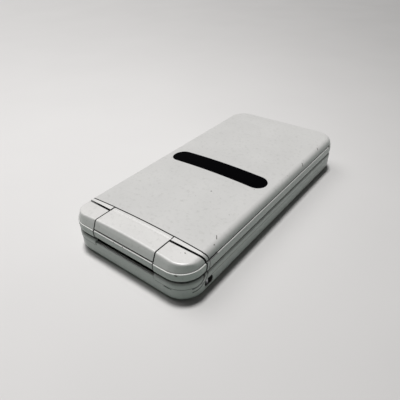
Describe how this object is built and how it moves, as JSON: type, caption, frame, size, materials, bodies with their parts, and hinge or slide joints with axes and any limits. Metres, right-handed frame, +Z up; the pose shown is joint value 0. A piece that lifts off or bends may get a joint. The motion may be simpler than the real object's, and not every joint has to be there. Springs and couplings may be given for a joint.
{
  "type": "flip phone",
  "caption": "Clamshell mobile phone, closed: slim rounded slab with a crowned lid, a pill shaped black outer display and a barrel hinge across one end.",
  "frame": {"origin": "middle of the closed phone's underside, on the surface it lies on", "axes": "+X towards the side with the strap eyelet, +Y towards the free end away from the hinge, +Z up through the lid"},
  "size_m": [0.05, 0.1028, 0.0147],
  "materials": {
    "pearl_plastic": "satin moulded plastic",
    "key_plastic": "satin keycaps",
    "window_black": "polished black window",
    "display_dark": "dark panel",
    "steel": "plain",
    "ring_metal": "satin plated",
    "board_green": "solder resist",
    "gold_contact": "gold plated",
    "battery_wrap": "printed film",
    "mat_rubber": "translucent rubber",
    "bumper_rubber": "soft pads",
    "dome_film": "film with metal domes",
    "black_plastic": "moulded",
    "flex_amber": "polyimide film"
  },
  "bodies": {
    "base": {"base_lower_case": "pearl_plastic", "base_upper_case": "pearl_plastic", "battery_pack": "battery_wrap", "battery_contacts": "gold_contact", "main_circuit_board": "board_green", "shield_cans": "steel", "dome_sheet": "dome_film", "keypad_mat": "mat_rubber", "antenna": "gold_contact", "loudspeaker": "black_plastic", "vibration_motor": "steel", "microphone": "steel", "camera_module": "black_plastic", "camera_window": "window_black", "port_socket": "steel", "strap_post": "steel", "base_screws": "steel", "hinge_cap_left": "pearl_plastic", "hinge_cap_right": "pearl_plastic", "hinge_shaft": "steel", "hinge_dummy_pin": "steel"},
    "lid": {"lid_inner_case": "pearl_plastic", "lid_outer_cover": "pearl_plastic", "hinge_barrel_cover": "pearl_plastic", "hinge_cartridge": "steel", "hinge_bush": "black_plastic", "hinge_flex_cable": "flex_amber", "main_display_window": "window_black", "main_display_module": "display_dark", "sub_display_window": "window_black", "sub_display_module": "display_dark", "lid_circuit_board": "board_green", "earpiece_speaker": "black_plastic", "lid_bumpers": "bumper_rubber", "lid_screws": "steel"},
    "battery_cover": {"battery_cover": "pearl_plastic"},
    "port_cover": {"port_cover": "pearl_plastic"},
    "side_key": {"side_key": "pearl_plastic"},
    "nav_carrier": {"nav_carrier": "black_plastic"},
    "nav_ring": {"nav_ring": "ring_metal"},
    "key_1": {"key_1": "key_plastic"},
    "key_2": {"key_2": "key_plastic"},
    "key_3": {"key_3": "key_plastic"},
    "key_4": {"key_4": "key_plastic"},
    "key_5": {"key_5": "key_plastic"},
    "key_6": {"key_6": "key_plastic"},
    "key_7": {"key_7": "key_plastic"},
    "key_8": {"key_8": "key_plastic"},
    "key_9": {"key_9": "key_plastic"},
    "key_star": {"key_star": "key_plastic"},
    "key_0": {"key_0": "key_plastic"},
    "key_hash": {"key_hash": "key_plastic"},
    "key_call": {"key_call": "key_plastic"},
    "key_clear_back": {"key_clear_back": "key_plastic"},
    "key_end": {"key_end": "key_plastic"},
    "soft_key_left_upper": {"soft_key_left_upper": "key_plastic"},
    "soft_key_left_lower": {"soft_key_left_lower": "key_plastic"},
    "soft_key_right_upper": {"soft_key_right_upper": "key_plastic"},
    "soft_key_right_lower": {"soft_key_right_lower": "key_plastic"},
    "nav_centre_key": {"nav_centre_key": "key_plastic"}
  },
  "joints": [
    {"name": "lid_hinge", "type": "hinge", "parent": "base", "child": "lid", "pos_m": [0, -0.0476, 0.0104], "axis": [1, 0, 0], "range_deg": [0, 160]},
    {"name": "battery_cover_slide", "type": "slide", "parent": "base", "child": "battery_cover", "axis": [0, 1, 0], "range_m": [0, 0.0025]},
    {"name": "port_cover_hinge", "type": "hinge", "parent": "base", "child": "port_cover", "pos_m": [-0.02445, 0.01645, 0.00315], "axis": [0, 0, -1], "range_deg": [0, 90]},
    {"name": "side_key_press", "type": "slide", "parent": "base", "child": "side_key", "axis": [1, 0, 0], "range_m": [0, 0.00025], "stiffness_N_per_m": 2000, "springref_m": -0.0001},
    {"name": "nav_tilt_length", "type": "hinge", "parent": "base", "child": "nav_carrier", "pos_m": [0, -0.024, 0.00595], "axis": [1, 0, 0], "range_deg": [-1.5, 1.5], "stiffness_Nm_per_rad": 0.05},
    {"name": "nav_tilt_width", "type": "hinge", "parent": "nav_carrier", "child": "nav_ring", "pos_m": [0, -0.024, 0.00595], "axis": [0, 1, 0], "range_deg": [-1.5, 1.5], "stiffness_Nm_per_rad": 0.05},
    {"name": "key_1_press", "type": "slide", "parent": "base", "child": "key_1", "axis": [0, 0, -1], "range_m": [0, 0.00025], "stiffness_N_per_m": 2000, "springref_m": -0.0001},
    {"name": "key_2_press", "type": "slide", "parent": "base", "child": "key_2", "axis": [0, 0, -1], "range_m": [0, 0.00025], "stiffness_N_per_m": 2000, "springref_m": -0.0001},
    {"name": "key_3_press", "type": "slide", "parent": "base", "child": "key_3", "axis": [0, 0, -1], "range_m": [0, 0.00025], "stiffness_N_per_m": 2000, "springref_m": -0.0001},
    {"name": "key_4_press", "type": "slide", "parent": "base", "child": "key_4", "axis": [0, 0, -1], "range_m": [0, 0.00025], "stiffness_N_per_m": 2000, "springref_m": -0.0001},
    {"name": "key_5_press", "type": "slide", "parent": "base", "child": "key_5", "axis": [0, 0, -1], "range_m": [0, 0.00025], "stiffness_N_per_m": 2000, "springref_m": -0.0001},
    {"name": "key_6_press", "type": "slide", "parent": "base", "child": "key_6", "axis": [0, 0, -1], "range_m": [0, 0.00025], "stiffness_N_per_m": 2000, "springref_m": -0.0001},
    {"name": "key_7_press", "type": "slide", "parent": "base", "child": "key_7", "axis": [0, 0, -1], "range_m": [0, 0.00025], "stiffness_N_per_m": 2000, "springref_m": -0.0001},
    {"name": "key_8_press", "type": "slide", "parent": "base", "child": "key_8", "axis": [0, 0, -1], "range_m": [0, 0.00025], "stiffness_N_per_m": 2000, "springref_m": -0.0001},
    {"name": "key_9_press", "type": "slide", "parent": "base", "child": "key_9", "axis": [0, 0, -1], "range_m": [0, 0.00025], "stiffness_N_per_m": 2000, "springref_m": -0.0001},
    {"name": "key_star_press", "type": "slide", "parent": "base", "child": "key_star", "axis": [0, 0, -1], "range_m": [0, 0.00025], "stiffness_N_per_m": 2000, "springref_m": -0.0001},
    {"name": "key_0_press", "type": "slide", "parent": "base", "child": "key_0", "axis": [0, 0, -1], "range_m": [0, 0.00025], "stiffness_N_per_m": 2000, "springref_m": -0.0001},
    {"name": "key_hash_press", "type": "slide", "parent": "base", "child": "key_hash", "axis": [0, 0, -1], "range_m": [0, 0.00025], "stiffness_N_per_m": 2000, "springref_m": -0.0001},
    {"name": "key_call_press", "type": "slide", "parent": "base", "child": "key_call", "axis": [0, 0, -1], "range_m": [0, 0.00025], "stiffness_N_per_m": 2000, "springref_m": -0.0001},
    {"name": "key_clear_back_press", "type": "slide", "parent": "base", "child": "key_clear_back", "axis": [0, 0, -1], "range_m": [0, 0.00025], "stiffness_N_per_m": 2000, "springref_m": -0.0001},
    {"name": "key_end_press", "type": "slide", "parent": "base", "child": "key_end", "axis": [0, 0, -1], "range_m": [0, 0.00025], "stiffness_N_per_m": 2000, "springref_m": -0.0001},
    {"name": "soft_key_left_upper_press", "type": "slide", "parent": "base", "child": "soft_key_left_upper", "axis": [0, 0, -1], "range_m": [0, 0.00025], "stiffness_N_per_m": 2000, "springref_m": -0.0001},
    {"name": "soft_key_left_lower_press", "type": "slide", "parent": "base", "child": "soft_key_left_lower", "axis": [0, 0, -1], "range_m": [0, 0.00025], "stiffness_N_per_m": 2000, "springref_m": -0.0001},
    {"name": "soft_key_right_upper_press", "type": "slide", "parent": "base", "child": "soft_key_right_upper", "axis": [0, 0, -1], "range_m": [0, 0.00025], "stiffness_N_per_m": 2000, "springref_m": -0.0001},
    {"name": "soft_key_right_lower_press", "type": "slide", "parent": "base", "child": "soft_key_right_lower", "axis": [0, 0, -1], "range_m": [0, 0.00025], "stiffness_N_per_m": 2000, "springref_m": -0.0001},
    {"name": "nav_centre_key_press", "type": "slide", "parent": "base", "child": "nav_centre_key", "axis": [0, 0, -1], "range_m": [0, 0.00025], "stiffness_N_per_m": 2000, "springref_m": -0.0001}
  ]
}
